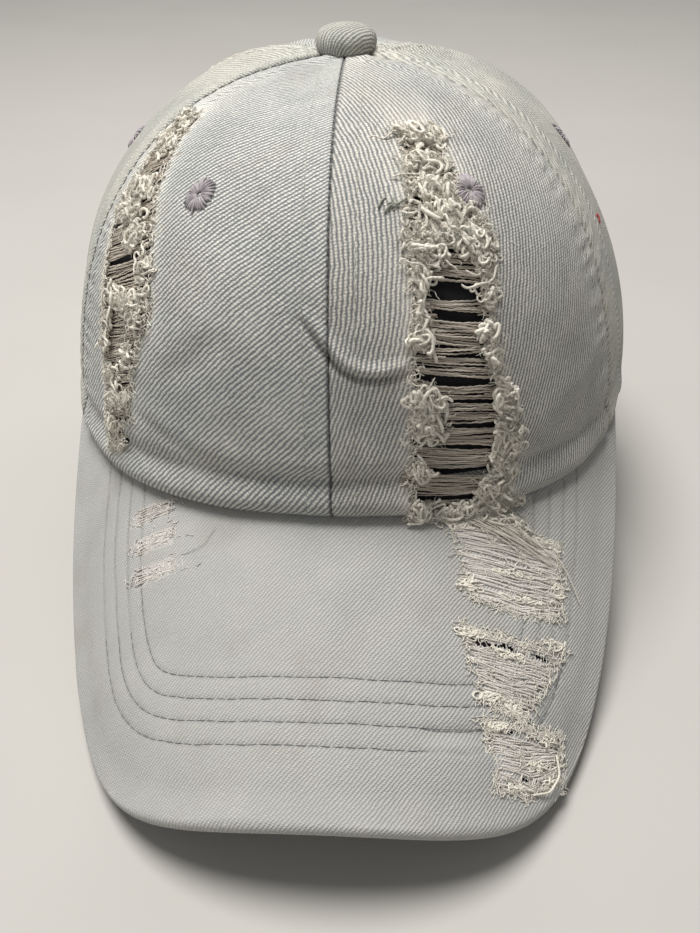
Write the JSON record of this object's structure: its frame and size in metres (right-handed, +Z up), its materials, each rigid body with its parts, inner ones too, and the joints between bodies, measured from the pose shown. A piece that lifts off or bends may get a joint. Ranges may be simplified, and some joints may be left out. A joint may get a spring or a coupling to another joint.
{
  "type": "baseball cap",
  "caption": "Six-panel washed denim baseball cap with a curved stitched visor, covered top button, embroidered eyelets and a rear opening closed by a strap in a lever buckle.",
  "frame": {"origin": "centre of the head opening, on the plane the cap stands on (the rear of the rim and both front corners of the visor touch it)", "axes": "+Z up, -Y out of the front along the visor, +Y to the rear strap, +X to the right as the cap is seen from its front"},
  "size_m": [0.1684, 0.2503, 0.1412],
  "materials": {
    "denim_crown": "washed twill denim, pale and uneven",
    "denim_visor": "washed twill denim, pale and uneven",
    "denim_edge": "washed denim binding",
    "backing_black": "black plain-weave backing",
    "tape_cotton": "undyed cotton twill tape",
    "sweatband_cotton": "soft cotton twill",
    "thread_grey": "satin-stitched thread",
    "board_plastic": "stiff visor board",
    "metal_antique": "antiqued brass",
    "metal_plain": "plain button parts",
    "label_white": "blank woven label"
  },
  "bodies": {
    "cap": {"buckle_frame": "metal_antique", "buckle_pin": "metal_antique", "buckle_tab": "denim_edge", "button_cover": "denim_crown", "button_rivet": "metal_plain", "button_washer": "metal_plain", "care_label": "label_white", "eyelet_front_left": "thread_grey", "eyelet_front_right": "thread_grey", "eyelet_rear_left": "thread_grey", "eyelet_rear_right": "thread_grey", "eyelet_side_left": "thread_grey", "eyelet_side_right": "thread_grey", "front_backing_left": "backing_black", "front_backing_right": "backing_black", "opening_binding": "denim_edge", "panel_front_left": "denim_crown", "panel_front_right": "denim_crown", "panel_rear_left": "denim_crown", "panel_rear_right": "denim_crown", "panel_side_left": "denim_crown", "panel_side_right": "denim_crown", "rim_hem": "denim_edge", "seam_tape_front": "tape_cotton", "seam_tape_front_left": "tape_cotton", "seam_tape_front_right": "tape_cotton", "seam_tape_rear": "tape_cotton", "seam_tape_rear_left": "tape_cotton", "seam_tape_rear_right": "tape_cotton", "sweatband": "sweatband_cotton", "visor_board": "board_plastic", "visor_top_cover": "denim_visor", "visor_under_cover": "denim_visor"},
    "strap": {"adjuster_strap": "denim_edge"},
    "lever": {"buckle_lever": "metal_antique"}
  },
  "joints": [
    {"name": "strap_adjust", "type": "hinge", "parent": "cap", "child": "strap", "pos_m": [0, 0.01589, 0.0136], "axis": [0, 0, 1], "range_deg": [-5, 5]},
    {"name": "buckle_lever_turn", "type": "hinge", "parent": "cap", "child": "lever", "pos_m": [0.01676, 0.09075, 0.0136], "axis": [0, 0, 1], "range_deg": [-95, 0]}
  ]
}
